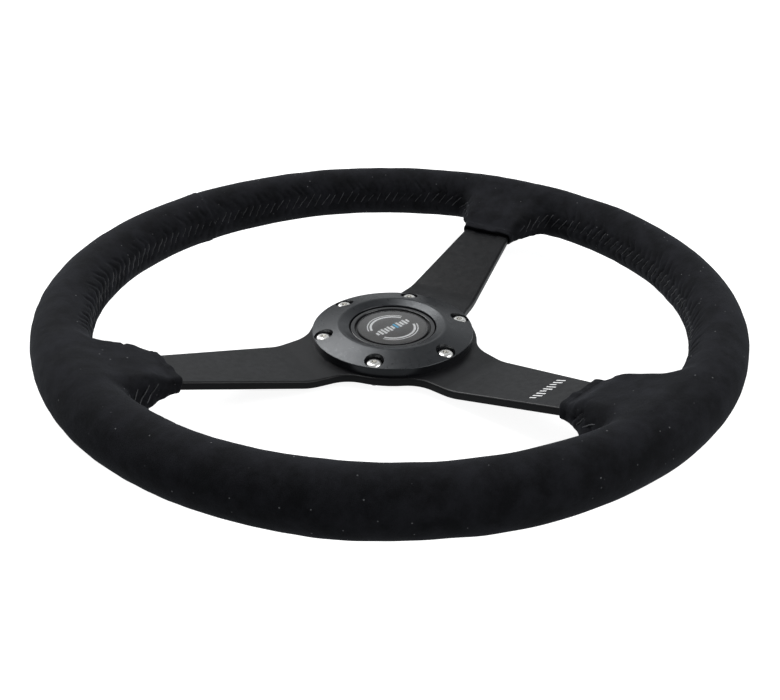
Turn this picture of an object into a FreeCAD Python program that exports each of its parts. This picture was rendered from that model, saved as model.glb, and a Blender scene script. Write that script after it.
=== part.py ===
import FreeCAD, Part
import math
import os
import re
import Sketcher
from FreeCAD import Placement, Rotation, Vector

# A three-spoke motorsport steering wheel: a dished aluminium spoke frame riveted to a hoop,
# a moulded foam grip with a sewn suede cover, a trim ring with six bolts, and a horn button.
#
# Millimetres. The origin is the centre of the mounting face at the back of the spoke frame.
# +Z points at the driver, +Y at twelve o'clock, and the bottom spoke runs along -Y.
# "Station" is the distance from the wheel's axis along a spoke, and "level" is a height in Z.

DIMENSIONS = {
    # rim
    "rim_diameter": 350,
    "grip_width": 27,
    "grip_height": 29.6,
    "rim_level": 25,
    "cover_thickness": 1.2,
    "hoop_width": 14,
    "hoop_thickness": 4,
    # spoke frame
    "plate_thickness": 4,
    "disc_radius": 44.5,
    "spoke_bend_station": 57.5,
    "spoke_rise_angle": 14.5,
    "tongue_station": 147,
    "tongue_end": 166,
    "inner_station": 60,
    "inner_half_width": 20,
    "outer_station": 140,
    "outer_half_width": 12.2,
    "bottom_spoke_angle": 270,
    "side_spoke_spread": 104.8,
    "bend_radius": 30,
    "tongue_bend_radius": 8,
    "junction_radius": 18,
    "tongue_corner_radius": 5,
    "front_edge_radius": 1.2,
    "back_edge_radius": 0.4,
    "centre_hole_radius": 20.6,
    "rivet_station": 160,
    "rivet_offset": 4.4,
    "rivet_radius": 2,
    "rivet_head_radius": 3.6,
    "rivet_head_height": 1.6,
    "rivet_flat_radius": 2.2,
    # boots at the spoke ends
    "boot_mouth_station": 116,
    "boot_middle_station": 133,
    "boot_root_station": 152,
    "boot_wall": 1.8,
    "boot_middle_flare": 7,
    "boot_root_flare": 21,
    "boot_middle_half_height": 6.2,
    "boot_root_half_height": 11,
    "boot_corner_ratio": 0.5,
    # rim seam
    "seam_thread_radius": 0.6,
    "seam_end_gap": 12,
    # trim ring
    "ring_radius": 42.2,
    "ring_bore_radius": 22.8,
    "ring_wall_level": 8.3,
    "ring_crown_radius": 28,
    "ring_crown_level": 11.9,
    "ring_bore_level": 9.9,
    "ring_edge_radius": 0.5,
    "ring_crown_rounding": 3,
    # hub bolts
    "bolt_circle": 74,
    "bolt_count": 6,
    "bolt_shank_radius": 2.5,
    # the M5 thread is drawn plain, at a radius between its root and its crest
    "bolt_thread_radius": 2.3,
    "bolt_hole_radius": 2.75,
    "bolt_length": 10,
    "bolt_seat_level": 6,
    "bolt_head_radius": 4.3,
    "bolt_head_height": 2.9,
    "bolt_dome_radius": 2.2,
    "bolt_chamfer": 0.6,
    "socket_width": 3,
    "socket_depth": 1.6,
    "counterbore_radius": 4.9,
    # horn housing
    "housing_radius": 22.3,
    "housing_lower_radius": 20.2,
    "housing_top": 7.6,
    "housing_bottom": -2.4,
    "housing_floor": 1.4,
    "housing_cavity_radius": 20.9,
    "housing_ledge_level": 4.8,
    "housing_lower_cavity_radius": 18,
    "clip_groove_level": 4.9,
    "clip_groove_height": 1.5,
    "clip_groove_depth": 0.7,
    "o_ring_side_gap": 0.2,
    "o_ring_bevel": 0.3,
    # horn button
    "bezel_inner_radius": 20,
    "bezel_top": 9.3,
    "bezel_edge_radius": 0.5,
    "cap_radius": 18.7,
    "cap_top": 9.0,
    "cap_flange_radius": 20.6,
    "cap_flange_top": 7.3,
    "cap_flange_thickness": 0.9,
    "cap_recess_radius": 18.2,
    "cap_recess_level": 8.2,
    "cap_skirt_radius": 15.5,
    "cap_skirt_wall": 1.4,
    "cap_skirt_bottom": 3.4,
    "cap_ceiling": 6.8,
    "cap_boss_radius": 3,
    "cap_boss_bottom": 4.2,
    "cap_travel": 1.5,
    "disc_thickness": 0.5,
    "lens_edge": 0.2,
    "lens_dome": 0.55,
    # contacts, terminals and spring
    "contact_thickness": 0.5,
    "upper_contact_inner": 9,
    "lower_contact_inner": 9.5,
    "lower_contact_outer": 17,
    "contact_tip_radius": 1.5,
    "contact_tip_circle": 12,
    "contact_stop_gap": 0.1,
    "contact_tip_count": 3,
    "contact_gap": 0.5,
    "contact_gap_inner": 7.5,
    "spring_radius": 4.6,
    "spring_wire_radius": 0.4,
    "spring_turns": 4.5,
    "spring_end_gap": 0.1,
    "terminal_width": 6.3,
    "terminal_thickness": 0.8,
    "terminal_inner": 8,
    "terminal_outer": 19,
    "terminal_rivet_station": 13.25,
    "terminal_rivet_radius": 1.2,
    "terminal_rivet_head": 2,
    "terminal_rivet_head_height": 0.4,
    "ground_pad_radius": 6,
    # how far a cutting outline runs past what it cuts
    "overrun": 5,
}

SHEET_NAME = "Dimensions"
ALL_THE_WAY = 360
HEX_CORNER_ANGLES = range(0, 360, 60)
NEAR = 1e-3
EDGE_SEARCH = 1.5
UPRIGHT = 0.999
FACE_ON = 0.8
SIDE_ON = 0.3
SPOKES = {
    "bottom": "Dimensions.bottom_spoke_angle",
    "left": "Dimensions.bottom_spoke_angle - Dimensions.side_spoke_spread",
    "right": "Dimensions.bottom_spoke_angle + Dimensions.side_spoke_spread",
}

doc = FreeCAD.newDocument("SteeringWheel")


# ---------------------------------------------------------------- the sheet


def fill_sheet():
    """One row for each driving dimension: its name in column A, its value in column B."""
    made = doc.addObject("Spreadsheet::Sheet", SHEET_NAME)
    for row, (name, value) in enumerate(DIMENSIONS.items(), start=1):
        made.set(f"A{row}", name)
        made.set(f"B{row}", str(value))
        made.setAlias(f"B{row}", name)
    doc.recompute()
    return made


sheet = fill_sheet()


def measure(expression):
    """The value of an expression over the sheet's dimensions."""
    return float(sheet.evalExpression(expression))


def dims(expression):
    """Puts the sheet's name in front of every dimension's name in an expression."""

    def full_name(word):
        return f"{SHEET_NAME}.{word[0]}" if word[0] in DIMENSIONS else word[0]

    return re.sub(r"[A-Za-z_][A-Za-z_.]*", full_name, expression)


# ---------------------------------------------------------------- sketches and features


def new_body(name):
    body = doc.addObject("PartDesign::Body", name)
    body.Label = name
    body.AllowCompound = True
    return body


def origin_feature(body, role):
    return next(f for f in body.Origin.OriginFeatures if f.Role == role)


def new_sketch(body, name, plane="XZ_Plane", turn=None, level=None):
    """A sketch on one of the body's own origin planes, turned about the wheel's axis or raised to a level."""
    sketch = body.newObject("Sketcher::SketchObject", name)
    sketch.AttachmentSupport = [(origin_feature(body, plane), "")]
    sketch.MapMode = "FlatFace"
    if turn is not None:
        axis = Vector(0, 1, 0) if plane == "XZ_Plane" else Vector(0, 0, 1)
        sketch.AttachmentOffset = Placement(Vector(), Rotation(axis, measure(turn)))
        sketch.setExpression("AttachmentOffset.Rotation.Angle", turn)
    if level is not None:
        sketch.setExpression("AttachmentOffset.Base.z", dims(level))
    return sketch


def pin_point(sketch, geometry, point, x, y):
    """Fixes one point of a sketch's geometry at two expressions."""
    for kind, expression in (("DistanceX", x), ("DistanceY", y)):
        value = measure(expression)
        index = sketch.addConstraint(Sketcher.Constraint(kind, -1, 1, geometry, point, value))
        name = f"{kind[-1].lower()}_{geometry}_{point}"
        sketch.renameConstraint(index, name)
        sketch.setExpression(f"Constraints.{name}", expression)


def draw_polygon(sketch, corners):
    """A closed outline whose corners are pairs of expressions."""
    corners = [(dims(x), dims(y)) for x, y in corners]
    points = [Vector(measure(x), measure(y), 0) for x, y in corners]
    first = sketch.GeometryCount
    count = len(points)
    for i in range(count):
        sketch.addGeometry(Part.LineSegment(points[i], points[(i + 1) % count]), False)
    for i in range(count):
        follower = first + (i + 1) % count
        sketch.addConstraint(Sketcher.Constraint("Coincident", first + i, 2, follower, 1))
    for i, (x, y) in enumerate(corners):
        pin_point(sketch, first + i, 1, x, y)
    return sketch


def draw_circle(sketch, x, y, radius):
    x, y, radius = dims(x), dims(y), dims(radius)
    centre = Vector(measure(x), measure(y), 0)
    index = sketch.addGeometry(Part.Circle(centre, Vector(0, 0, 1), measure(radius)), False)
    pin_point(sketch, index, 3, x, y)
    constraint = sketch.addConstraint(Sketcher.Constraint("Radius", index, measure(radius)))
    sketch.renameConstraint(constraint, f"radius_{index}")
    sketch.setExpression(f"Constraints.radius_{index}", radius)
    return sketch


def revolve(body, sketch):
    feature = body.newObject("PartDesign::Revolution", f"{sketch.Name}_turned")
    feature.Profile = sketch
    feature.ReferenceAxis = (sketch, ["V_Axis"])
    feature.Angle = ALL_THE_WAY
    doc.recompute()
    return feature


def pad(body, sketch, length, midplane=False, downward=False):
    feature = body.newObject("PartDesign::Pad", f"{sketch.Name}_pad")
    feature.Profile = sketch
    feature.setExpression("Length", dims(length))
    if midplane:
        feature.SideType = "Symmetric"
    feature.Reversed = downward
    doc.recompute()
    return feature


def pocket(body, sketch, upward=False, both_ways=False):
    """Cuts the sketch right through. Stops the script if it takes nothing away."""
    before = body.Shape.Volume
    feature = body.newObject("PartDesign::Pocket", f"{sketch.Name}_cut")
    feature.Profile = sketch
    feature.Type = "ThroughAll"
    if both_ways:
        feature.SideType = "Symmetric"
    feature.Reversed = upward
    doc.recompute()
    if not body.Shape.Volume < before:
        raise RuntimeError(f"{feature.Name} cut nothing")
    return feature


def polar_pattern(body, originals, count):
    pattern = body.newObject("PartDesign::PolarPattern", f"{originals[0].Name}_pattern")
    pattern.Originals = originals
    pattern.Axis = (origin_feature(body, "Z_Axis"), [""])
    pattern.Angle = ALL_THE_WAY
    pattern.setExpression("Occurrences", dims(count))
    body.Tip = pattern
    doc.recompute()
    return pattern


def edge_names(shape, wanted):
    return [f"Edge{i}" for i, edge in enumerate(shape.Edges, start=1) if wanted(edge)]


def dress(body, kind, name, radius, wanted):
    """A fillet or chamfer on the body's edges that the test picks out."""
    edges = edge_names(body.Shape, wanted)
    if not edges:
        raise RuntimeError(f"{name} found no edge")
    base = body.Tip
    feature = body.newObject(f"PartDesign::{kind}", name)
    feature.Base = (base, edges)
    feature.setExpression("Radius" if kind == "Fillet" else "Size", dims(radius))
    doc.recompute()
    return feature


def ring_at(radius, level):
    """A test for the whole circles about the wheel's axis at a radius and a level."""
    radius = measure(dims(radius))
    level = measure(dims(level))

    def wanted(edge):
        if not isinstance(edge.Curve, Part.Circle):
            return False
        centre = edge.Curve.Center
        on_axis = math.hypot(centre.x, centre.y) < NEAR
        return on_axis and abs(centre.z - level) < NEAR and abs(edge.Curve.Radius - radius) < NEAR

    return wanted


def cut(name, base, tool):
    made = doc.addObject("Part::Cut", name)
    made.Label = name
    made.Base = base
    made.Tool = tool
    doc.recompute()
    return made


def together(name, shapes):
    made = doc.addObject("Part::Compound", name)
    made.Label = name
    made.Links = shapes
    doc.recompute()
    return made


def turn_about_axis(thing, angle):
    """Turns an object about the wheel's axis by an expression."""
    thing.Placement = Placement(thing.Placement.Base, Rotation(Vector(0, 0, 1), measure(angle)))
    thing.setExpression("Placement.Rotation.Angle", angle)


def spoke_direction(side):
    angle = math.radians(measure(SPOKES[side]))
    return Vector(math.cos(angle), math.sin(angle), 0)


# ---------------------------------------------------------------- spoke frame

SPOKE_TAPER = "(inner_half_width - outer_half_width) / (outer_station - inner_station)"
SPOKE_RISE = "(tongue_station - spoke_bend_station) * tan(spoke_rise_angle * 1deg)"
BEND_OFFSET = "plate_thickness * tan(spoke_rise_angle * 0.5deg)"


def half_width_at(station):
    return f"(inner_half_width - ({station} - inner_station) * {SPOKE_TAPER})"


def spoke_strip(body, side):
    """A bent strip: flat at the hub, rising along the spoke, level again inside the rim."""
    corners = [
        ("0", "0"),
        (f"spoke_bend_station + {BEND_OFFSET}", "0"),
        (f"tongue_station + {BEND_OFFSET}", SPOKE_RISE),
        ("tongue_end", SPOKE_RISE),
        ("tongue_end", f"{SPOKE_RISE} + plate_thickness"),
        ("tongue_station", f"{SPOKE_RISE} + plate_thickness"),
        ("spoke_bend_station", "plate_thickness"),
        ("0", "plate_thickness"),
    ]
    profile = new_sketch(body, f"{side}_spoke_profile", turn=SPOKES[side])
    pad(body, draw_polygon(profile, corners), f"2 * {half_width_at(0)}", midplane=True)


def spoke_sides(body, side):
    """Trims a strip to the spoke's taper, on both sides."""
    beyond = "(tongue_end + overrun)"
    clear = f"({half_width_at(0)} + overrun)"
    sketch = new_sketch(body, f"{side}_spoke_sides", plane="XY_Plane", turn=SPOKES[side])
    for sign in ("1", "-1"):
        corners = [
            ("0", f"{sign} * {half_width_at(0)}"),
            (beyond, f"{sign} * {half_width_at(beyond)}"),
            (beyond, f"{sign} * {clear}"),
            ("0", f"{sign} * {clear}"),
        ]
        draw_polygon(sketch, corners)
    pocket(body, sketch, both_ways=True)


def bend_line(stations_and_levels):
    """A test for the straight edges that lie across a spoke at one of the stations and levels."""
    places = [(measure(dims(a)), measure(dims(z))) for a, z in stations_and_levels]

    def wanted(edge):
        if not isinstance(edge.Curve, Part.Line):
            return False
        middle = edge.CenterOfMass
        for side in SPOKES:
            along = spoke_direction(side)
            across = abs(edge.tangentAt(edge.FirstParameter).dot(along)) < NEAR
            gaps = [math.hypot(middle.dot(along) - a, middle.z - z) for a, z in places]
            if across and min(gaps) < NEAR:
                return True
        return False

    return wanted


def upright_edge(distance, margin):
    """A test for the vertical edges near a distance from the axis."""
    low = measure(dims(distance)) - margin
    high = measure(dims(distance)) + margin

    def wanted(edge):
        if not isinstance(edge.Curve, Part.Line):
            return False
        middle = edge.CenterOfMass
        upright = abs(edge.tangentAt(edge.FirstParameter).z) > UPRIGHT
        return upright and low < math.hypot(middle.x, middle.y) < high

    return wanted


def outline_edge(body, facing):
    """A test for the edges between a side wall and a face that looks up (facing 1) or down (-1)."""
    shape = body.Shape

    def wanted(edge):
        point = edge.valueAt((edge.FirstParameter + edge.LastParameter) / 2)
        slopes = []
        for face in shape.ancestorsOfType(edge, Part.Face):
            u, v = face.Surface.parameter(point)
            slopes.append(face.normalAt(u, v).z * facing)
        return len(slopes) == 2 and max(slopes) > FACE_ON and abs(min(slopes)) < SIDE_ON

    return wanted


def make_spoke_frame():
    body = new_body("spoke_frame")
    for side in SPOKES:
        spoke_strip(body, side)
    for side in SPOKES:
        spoke_sides(body, side)
    disc = new_sketch(body, "hub_disc", plane="XY_Plane")
    pad(body, draw_circle(disc, "0", "0", "disc_radius"), "plate_thickness")

    top = f"{SPOKE_RISE} + plate_thickness"
    dress(body, "Fillet", "spoke_bend_top", "bend_radius",
          bend_line([("spoke_bend_station", "plate_thickness")]))
    dress(body, "Fillet", "spoke_bend_back", "bend_radius + plate_thickness",
          bend_line([(f"spoke_bend_station + {BEND_OFFSET}", "0")]))
    dress(body, "Fillet", "tongue_bend_top", "tongue_bend_radius + plate_thickness",
          bend_line([("tongue_station", top)]))
    dress(body, "Fillet", "tongue_bend_back", "tongue_bend_radius",
          bend_line([(f"tongue_station + {BEND_OFFSET}", SPOKE_RISE)]))
    dress(body, "Fillet", "disc_to_spokes", "junction_radius",
          upright_edge("disc_radius", EDGE_SEARCH))
    dress(body, "Fillet", "tongue_corners", "tongue_corner_radius",
          upright_edge("tongue_end", EDGE_SEARCH))
    dress(body, "Fillet", "front_edges", "front_edge_radius", outline_edge(body, 1))
    dress(body, "Fillet", "back_edges", "back_edge_radius", outline_edge(body, -1))

    centre = new_sketch(body, "centre_hole", plane="XY_Plane")
    pocket(body, draw_circle(centre, "0", "0", "centre_hole_radius"), upward=True)
    hole = new_sketch(body, "plate_bolt_hole", plane="XY_Plane")
    draw_circle(hole, "0", "0 - bolt_circle / 2", "bolt_hole_radius")
    polar_pattern(body, [pocket(body, hole, upward=True)], "bolt_count")
    rivets = new_sketch(body, "tongue_rivet_holes", plane="XY_Plane")
    for side in SPOKES:
        along = spoke_direction(side)
        for sign in (1, -1):
            cosine, sine = f"{along.x:.9f}", f"{along.y:.9f}"
            x = f"rivet_station * {cosine} - {sign} * rivet_offset * {sine}"
            y = f"rivet_station * {sine} + {sign} * rivet_offset * {cosine}"
            draw_circle(rivets, x, y, "rivet_radius")
    pocket(body, rivets, upward=True)
    return body


# ---------------------------------------------------------------- rim


def make_rim_hoop(rivets):
    """A flat ring under the spoke tongues, with the rivets' holes."""
    blank = new_body("hoop_blank")
    middle = "(rim_diameter / 2 - grip_width / 2)"
    sketch = new_sketch(blank, "hoop_section")
    corners = [
        (f"{middle} - hoop_width / 2", f"{SPOKE_RISE} - hoop_thickness"),
        (f"{middle} + hoop_width / 2", f"{SPOKE_RISE} - hoop_thickness"),
        (f"{middle} + hoop_width / 2", SPOKE_RISE),
        (f"{middle} - hoop_width / 2", SPOKE_RISE),
    ]
    revolve(blank, draw_polygon(sketch, corners))
    return cut("rim_hoop", blank, rivets)


def make_rivet():
    """One rivet on the Z axis: a domed head on the tongue and a set head under the hoop."""
    body = new_body("rivet_pattern")
    sketch = new_sketch(body, "rivet_section")
    back = f"({SPOKE_RISE} - hoop_thickness)"
    front = f"({SPOKE_RISE} + plate_thickness)"
    corners = [
        ("0", f"{back} - rivet_head_height"),
        ("rivet_flat_radius", f"{back} - rivet_head_height"),
        ("rivet_head_radius", back),
        ("rivet_radius", back),
        ("rivet_radius", front),
        ("rivet_head_radius", front),
        ("rivet_flat_radius", f"{front} + rivet_head_height"),
        ("0", f"{front} + rivet_head_height"),
    ]
    revolve(body, draw_polygon(sketch, corners))
    return body


def make_hoop_rivets(rivet):
    """Two rivets through each spoke's tongue. The spokes aren't evenly spaced, so no pattern fits."""
    station = measure(dims("rivet_station"))
    offset = measure(dims("rivet_offset"))
    solids = []
    for side in SPOKES:
        along = spoke_direction(side)
        across = Vector(-along.y, along.x, 0)
        for sign in (1, -1):
            solid = rivet.Shape.copy()
            solid.translate(along * station + across * (sign * offset))
            solids.append(solid)
    group = doc.addObject("Part::Feature", "hoop_rivets")
    group.Label = "hoop_rivets"
    group.Shape = Part.makeCompound(solids)
    group.Placement = Placement()
    return group


def torus_solid(name, inset, start="0", sweep="360"):
    """The rim's oval section, smaller by an inset, swept about the wheel's axis from an angle."""
    oval = doc.addObject("Part::Ellipse", f"{name}_oval")
    standing = Rotation(Vector(1, 0, 0), 90) * Rotation(Vector(0, 0, 1), 90)
    oval.Placement = Placement(Vector(), standing)
    oval.setExpression("MajorRadius", dims(f"grip_height / 2 - {inset}"))
    oval.setExpression("MinorRadius", dims(f"grip_width / 2 - {inset}"))
    oval.setExpression("Placement.Base.x", dims("rim_diameter / 2 - grip_width / 2"))
    oval.setExpression("Placement.Base.z", dims("rim_level"))
    solid = doc.addObject("Part::Revolution", name)
    solid.Source = oval
    solid.Axis = Vector(0, 0, 1)
    solid.Base = Vector()
    solid.setExpression("Angle", sweep)
    solid.Solid = True
    turn_about_axis(solid, start)
    doc.recompute()
    return solid


def make_foam_grip(inside):
    """Moulded foam round the hoop, the tongues and the rivets."""
    core = torus_solid("foam_core", "cover_thickness")
    return cut("foam_grip", core, inside)


def make_cover(name, start, frame):
    """Half of the sewn suede cover: a skin on the foam, joined at twelve and at six o'clock."""
    outer = torus_solid(f"{name}_outer", "0", start, "180")
    inner = torus_solid(f"{name}_inner", "cover_thickness", start, "180")
    skin = cut(f"{name}_skin", outer, inner)
    return cut(name, skin, frame)


# ---------------------------------------------------------------- boots


def boot_section(body, side, name, station, half_width, half_height, level):
    """An eight-sided section of a boot, across the spoke at a station."""
    sketch = body.newObject("Sketcher::SketchObject", f"{side}_{name}")
    sketch.AttachmentSupport = [(origin_feature(body, "YZ_Plane"), "")]
    sketch.MapMode = "FlatFace"
    sketch.setExpression("AttachmentOffset.Base.z", dims(station))
    low, high = f"{level} - {half_height}", f"{level} + {half_height}"
    shoulder = f"{half_height} * boot_corner_ratio"
    inset = f"({half_width} - {shoulder})"
    corners = [
        (f"0 - {inset}", low),
        (inset, low),
        (half_width, f"{level} - {shoulder}"),
        (half_width, f"{level} + {shoulder}"),
        (inset, high),
        (f"0 - {inset}", high),
        (f"0 - {half_width}", f"{level} + {shoulder}"),
        (f"0 - {half_width}", f"{level} - {shoulder}"),
    ]
    return draw_polygon(sketch, corners)


def spoke_level(station):
    """The middle of the spoke's thickness at a station on its slope."""
    slope = "tan(spoke_rise_angle * 1deg)"
    return f"(plate_thickness / 2 + ({station} - spoke_bend_station) * {slope})"


def make_boot(side, rim_and_frame):
    """The suede sleeve that runs from the rim down a spoke: it flares into the rim at its root."""
    blank = new_body(f"{side}_boot_blank")
    mouth = boot_section(
        blank, side, "boot_mouth", "boot_mouth_station",
        f"({half_width_at('boot_mouth_station')} + boot_wall)",
        "(plate_thickness / 2 + boot_wall)", spoke_level("boot_mouth_station"))
    middle = boot_section(
        blank, side, "boot_middle", "boot_middle_station",
        f"({half_width_at('boot_middle_station')} + boot_middle_flare)",
        "boot_middle_half_height", spoke_level("boot_middle_station"))
    root = boot_section(
        blank, side, "boot_root", "boot_root_station",
        f"({half_width_at('boot_root_station')} + boot_root_flare)",
        "boot_root_half_height", "rim_level")
    loft = blank.newObject("PartDesign::AdditiveLoft", f"{side}_boot_loft")
    loft.Profile = mouth
    loft.Sections = [middle, root]
    loft.Ruled = True
    doc.recompute()
    turn_about_axis(blank, SPOKES[side])
    doc.recompute()
    return cut(f"boot_{side}", blank, rim_and_frame)


# ---------------------------------------------------------------- rim seam

SEAMS = {
    "seam_top": (SPOKES["right"], "360 - 2 * Dimensions.side_spoke_spread"),
    "seam_left": (SPOKES["left"], "Dimensions.side_spoke_spread"),
    "seam_right": (SPOKES["bottom"], "Dimensions.side_spoke_spread"),
}


def make_seam(name):
    """The thread along the inside of the rim between two boots."""
    start, span = SEAMS[name]
    thread = doc.addObject("Part::Torus", name)
    thread.Label = name
    thread.setExpression("Radius1", dims("rim_diameter / 2 - grip_width - seam_thread_radius"))
    thread.setExpression("Radius2", dims("seam_thread_radius"))
    thread.setExpression("Angle3", dims(f"{span} - 2 * seam_end_gap"))
    turn_about_axis(thread, dims(f"{start} + seam_end_gap"))
    thread.setExpression("Placement.Base.z", dims("rim_level"))
    doc.recompute()
    return thread


# ---------------------------------------------------------------- trim ring and bolts


def make_trim_ring():
    body = new_body("trim_ring")
    section = new_sketch(body, "ring_section")
    corners = [
        ("ring_bore_radius", "plate_thickness"),
        ("ring_radius", "plate_thickness"),
        ("ring_radius", "ring_wall_level"),
        ("ring_crown_radius", "ring_crown_level"),
        ("ring_bore_radius", "ring_bore_level"),
    ]
    revolve(body, draw_polygon(section, corners))
    crown = ring_at("ring_crown_radius", "ring_crown_level")
    dress(body, "Fillet", "ring_crown", "ring_crown_rounding", crown)
    rim = ring_at("ring_radius", "ring_wall_level")
    bore = ring_at("ring_bore_radius", "ring_bore_level")
    dress(body, "Fillet", "ring_edges", "ring_edge_radius", lambda e: rim(e) or bore(e))
    counterbore = new_sketch(body, "counterbore", plane="XY_Plane", level="bolt_seat_level")
    draw_circle(counterbore, "0", "0 - bolt_circle / 2", "counterbore_radius")
    bored = pocket(body, counterbore, upward=True)
    hole = new_sketch(body, "ring_bolt_hole", plane="XY_Plane")
    draw_circle(hole, "0", "0 - bolt_circle / 2", "bolt_hole_radius")
    drilled = pocket(body, hole, upward=True)
    polar_pattern(body, [bored, drilled], "bolt_count")
    return body


def make_hub_bolts():
    """Six button-head bolts, heads in the ring's counterbores, ends proud of the mounting face."""
    body = new_body("hub_bolts")
    section = new_sketch(body, "bolt_section", plane="YZ_Plane")
    middle = "(0 - bolt_circle / 2)"
    tip = "(bolt_seat_level - bolt_length)"
    corners = [
        (middle, tip),
        (f"{middle} + bolt_thread_radius - bolt_chamfer", tip),
        (f"{middle} + bolt_thread_radius", f"{tip} + bolt_chamfer"),
        (f"{middle} + bolt_thread_radius", "0"),
        (f"{middle} + bolt_shank_radius", "0"),
        (f"{middle} + bolt_shank_radius", "bolt_seat_level"),
        (f"{middle} + bolt_head_radius", "bolt_seat_level"),
        (f"{middle} + bolt_head_radius", "bolt_seat_level + bolt_head_height"),
        (middle, "bolt_seat_level + bolt_head_height"),
    ]
    draw_polygon(section, corners)
    turned = body.newObject("PartDesign::Revolution", "bolt_turned")
    turned.Profile = section
    turned.ReferenceAxis = (section, [f"Edge{len(corners)}"])
    turned.Angle = ALL_THE_WAY
    doc.recompute()
    top = measure(dims("bolt_seat_level + bolt_head_height"))
    reach = measure(dims("bolt_head_radius"))

    def head_rim(edge):
        circle = isinstance(edge.Curve, Part.Circle) and abs(edge.Curve.Radius - reach) < NEAR
        return circle and abs(edge.Curve.Center.z - top) < NEAR

    dome = dress(body, "Fillet", "bolt_dome", "bolt_dome_radius", head_rim)
    floor = "bolt_seat_level + bolt_head_height - socket_depth"
    socket = new_sketch(body, "hex_socket", plane="XY_Plane", level=floor)
    corner = "(socket_width / sqrt(3))"
    outline = [
        (f"{corner} * cos({angle} * 1deg)", f"0 - bolt_circle / 2 + {corner} * sin({angle} * 1deg)")
        for angle in HEX_CORNER_ANGLES
    ]
    draw_polygon(socket, outline)
    keyed = pocket(body, socket, upward=True)
    polar_pattern(body, [turned, dome, keyed], "bolt_count")
    return body


# ---------------------------------------------------------------- horn


def make_horn_housing():
    body = new_body("horn_housing")
    section = new_sketch(body, "housing_section")
    corners = [
        ("0", "housing_bottom"),
        ("housing_lower_radius", "housing_bottom"),
        ("housing_lower_radius", "plate_thickness"),
        ("housing_radius", "plate_thickness"),
        ("housing_radius", "clip_groove_level"),
        ("housing_radius - clip_groove_depth", "clip_groove_level"),
        ("housing_radius - clip_groove_depth", "clip_groove_level + clip_groove_height"),
        ("housing_radius", "clip_groove_level + clip_groove_height"),
        ("housing_radius", "housing_top"),
        ("housing_cavity_radius", "housing_top"),
        ("housing_cavity_radius", "housing_ledge_level"),
        ("housing_lower_cavity_radius", "housing_ledge_level"),
        ("housing_lower_cavity_radius", "housing_bottom + housing_floor"),
        ("0", "housing_bottom + housing_floor"),
    ]
    revolve(body, draw_polygon(section, corners))
    holes = new_sketch(body, "terminal_holes", plane="XY_Plane")
    for sign in ("0 + ", "0 - "):
        draw_circle(holes, f"{sign}terminal_rivet_station", "0", "terminal_rivet_radius")
    pocket(body, holes, both_ways=True)
    return body


def make_o_ring():
    """The rubber ring that grips the trim ring's bore."""
    body = new_body("horn_o_ring")
    section = new_sketch(body, "o_ring_section")
    low = "clip_groove_level + o_ring_side_gap"
    high = "clip_groove_level + clip_groove_height - o_ring_side_gap"
    corners = [
        ("housing_radius - clip_groove_depth", low),
        ("housing_radius", low),
        ("ring_bore_radius", f"{low} + o_ring_bevel"),
        ("ring_bore_radius", f"{high} - o_ring_bevel"),
        ("housing_radius", high),
        ("housing_radius - clip_groove_depth", high),
    ]
    revolve(body, draw_polygon(section, corners))
    return body


def make_bezel():
    body = new_body("horn_bezel")
    section = new_sketch(body, "bezel_section")
    corners = [
        ("bezel_inner_radius", "housing_top"),
        ("housing_radius", "housing_top"),
        ("housing_radius", "bezel_top"),
        ("bezel_inner_radius", "bezel_top"),
    ]
    revolve(body, draw_polygon(section, corners))
    outer, inner = ring_at("housing_radius", "bezel_top"), ring_at("bezel_inner_radius", "bezel_top")
    dress(body, "Fillet", "bezel_edges", "bezel_edge_radius", lambda e: outer(e) or inner(e))
    return body


def make_cap():
    """The moving button: its flange is caught under the bezel, its boss centres the spring."""
    body = new_body("horn_cap")
    section = new_sketch(body, "cap_section")
    corners = [
        ("0", "cap_boss_bottom"),
        ("cap_boss_radius", "cap_boss_bottom"),
        ("cap_boss_radius", "cap_ceiling"),
        ("cap_skirt_radius - cap_skirt_wall", "cap_ceiling"),
        ("cap_skirt_radius - cap_skirt_wall", "cap_skirt_bottom"),
        ("cap_skirt_radius", "cap_skirt_bottom"),
        ("cap_skirt_radius", "cap_flange_top - cap_flange_thickness"),
        ("cap_flange_radius", "cap_flange_top - cap_flange_thickness"),
        ("cap_flange_radius", "cap_flange_top"),
        ("cap_radius", "cap_flange_top"),
        ("cap_radius", "cap_top"),
        ("cap_recess_radius", "cap_top"),
        ("cap_recess_radius", "cap_recess_level"),
        ("0", "cap_recess_level"),
    ]
    revolve(body, draw_polygon(section, corners))
    return body


def make_emblem_disc():
    disc = doc.addObject("Part::Cylinder", "emblem_disc")
    disc.Label = "emblem_disc"
    disc.setExpression("Radius", dims("cap_recess_radius"))
    disc.setExpression("Height", dims("disc_thickness"))
    disc.setExpression("Placement.Base.z", dims("cap_recess_level"))
    return disc


def make_emblem_lens():
    """A clear domed drop of resin over the disc: a slice of a cylinder under a large sphere."""
    base = "(cap_recess_level + disc_thickness)"
    blank = doc.addObject("Part::Cylinder", "lens_blank")
    blank.setExpression("Radius", dims("cap_recess_radius"))
    blank.setExpression("Height", dims("lens_edge + lens_dome + overrun"))
    blank.setExpression("Placement.Base.z", dims(base))
    dome_radius = "((cap_recess_radius ^ 2 + lens_dome ^ 2) / (2 * lens_dome))"
    dome = doc.addObject("Part::Sphere", "lens_sphere")
    dome.setExpression("Radius", dims(dome_radius))
    dome.setExpression("Placement.Base.z", dims(f"{base} + lens_edge + lens_dome - {dome_radius}"))
    lens = doc.addObject("Part::Common", "emblem_lens")
    lens.Label = "emblem_lens"
    lens.Base = blank
    lens.Tool = dome
    doc.recompute()
    return lens


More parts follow.
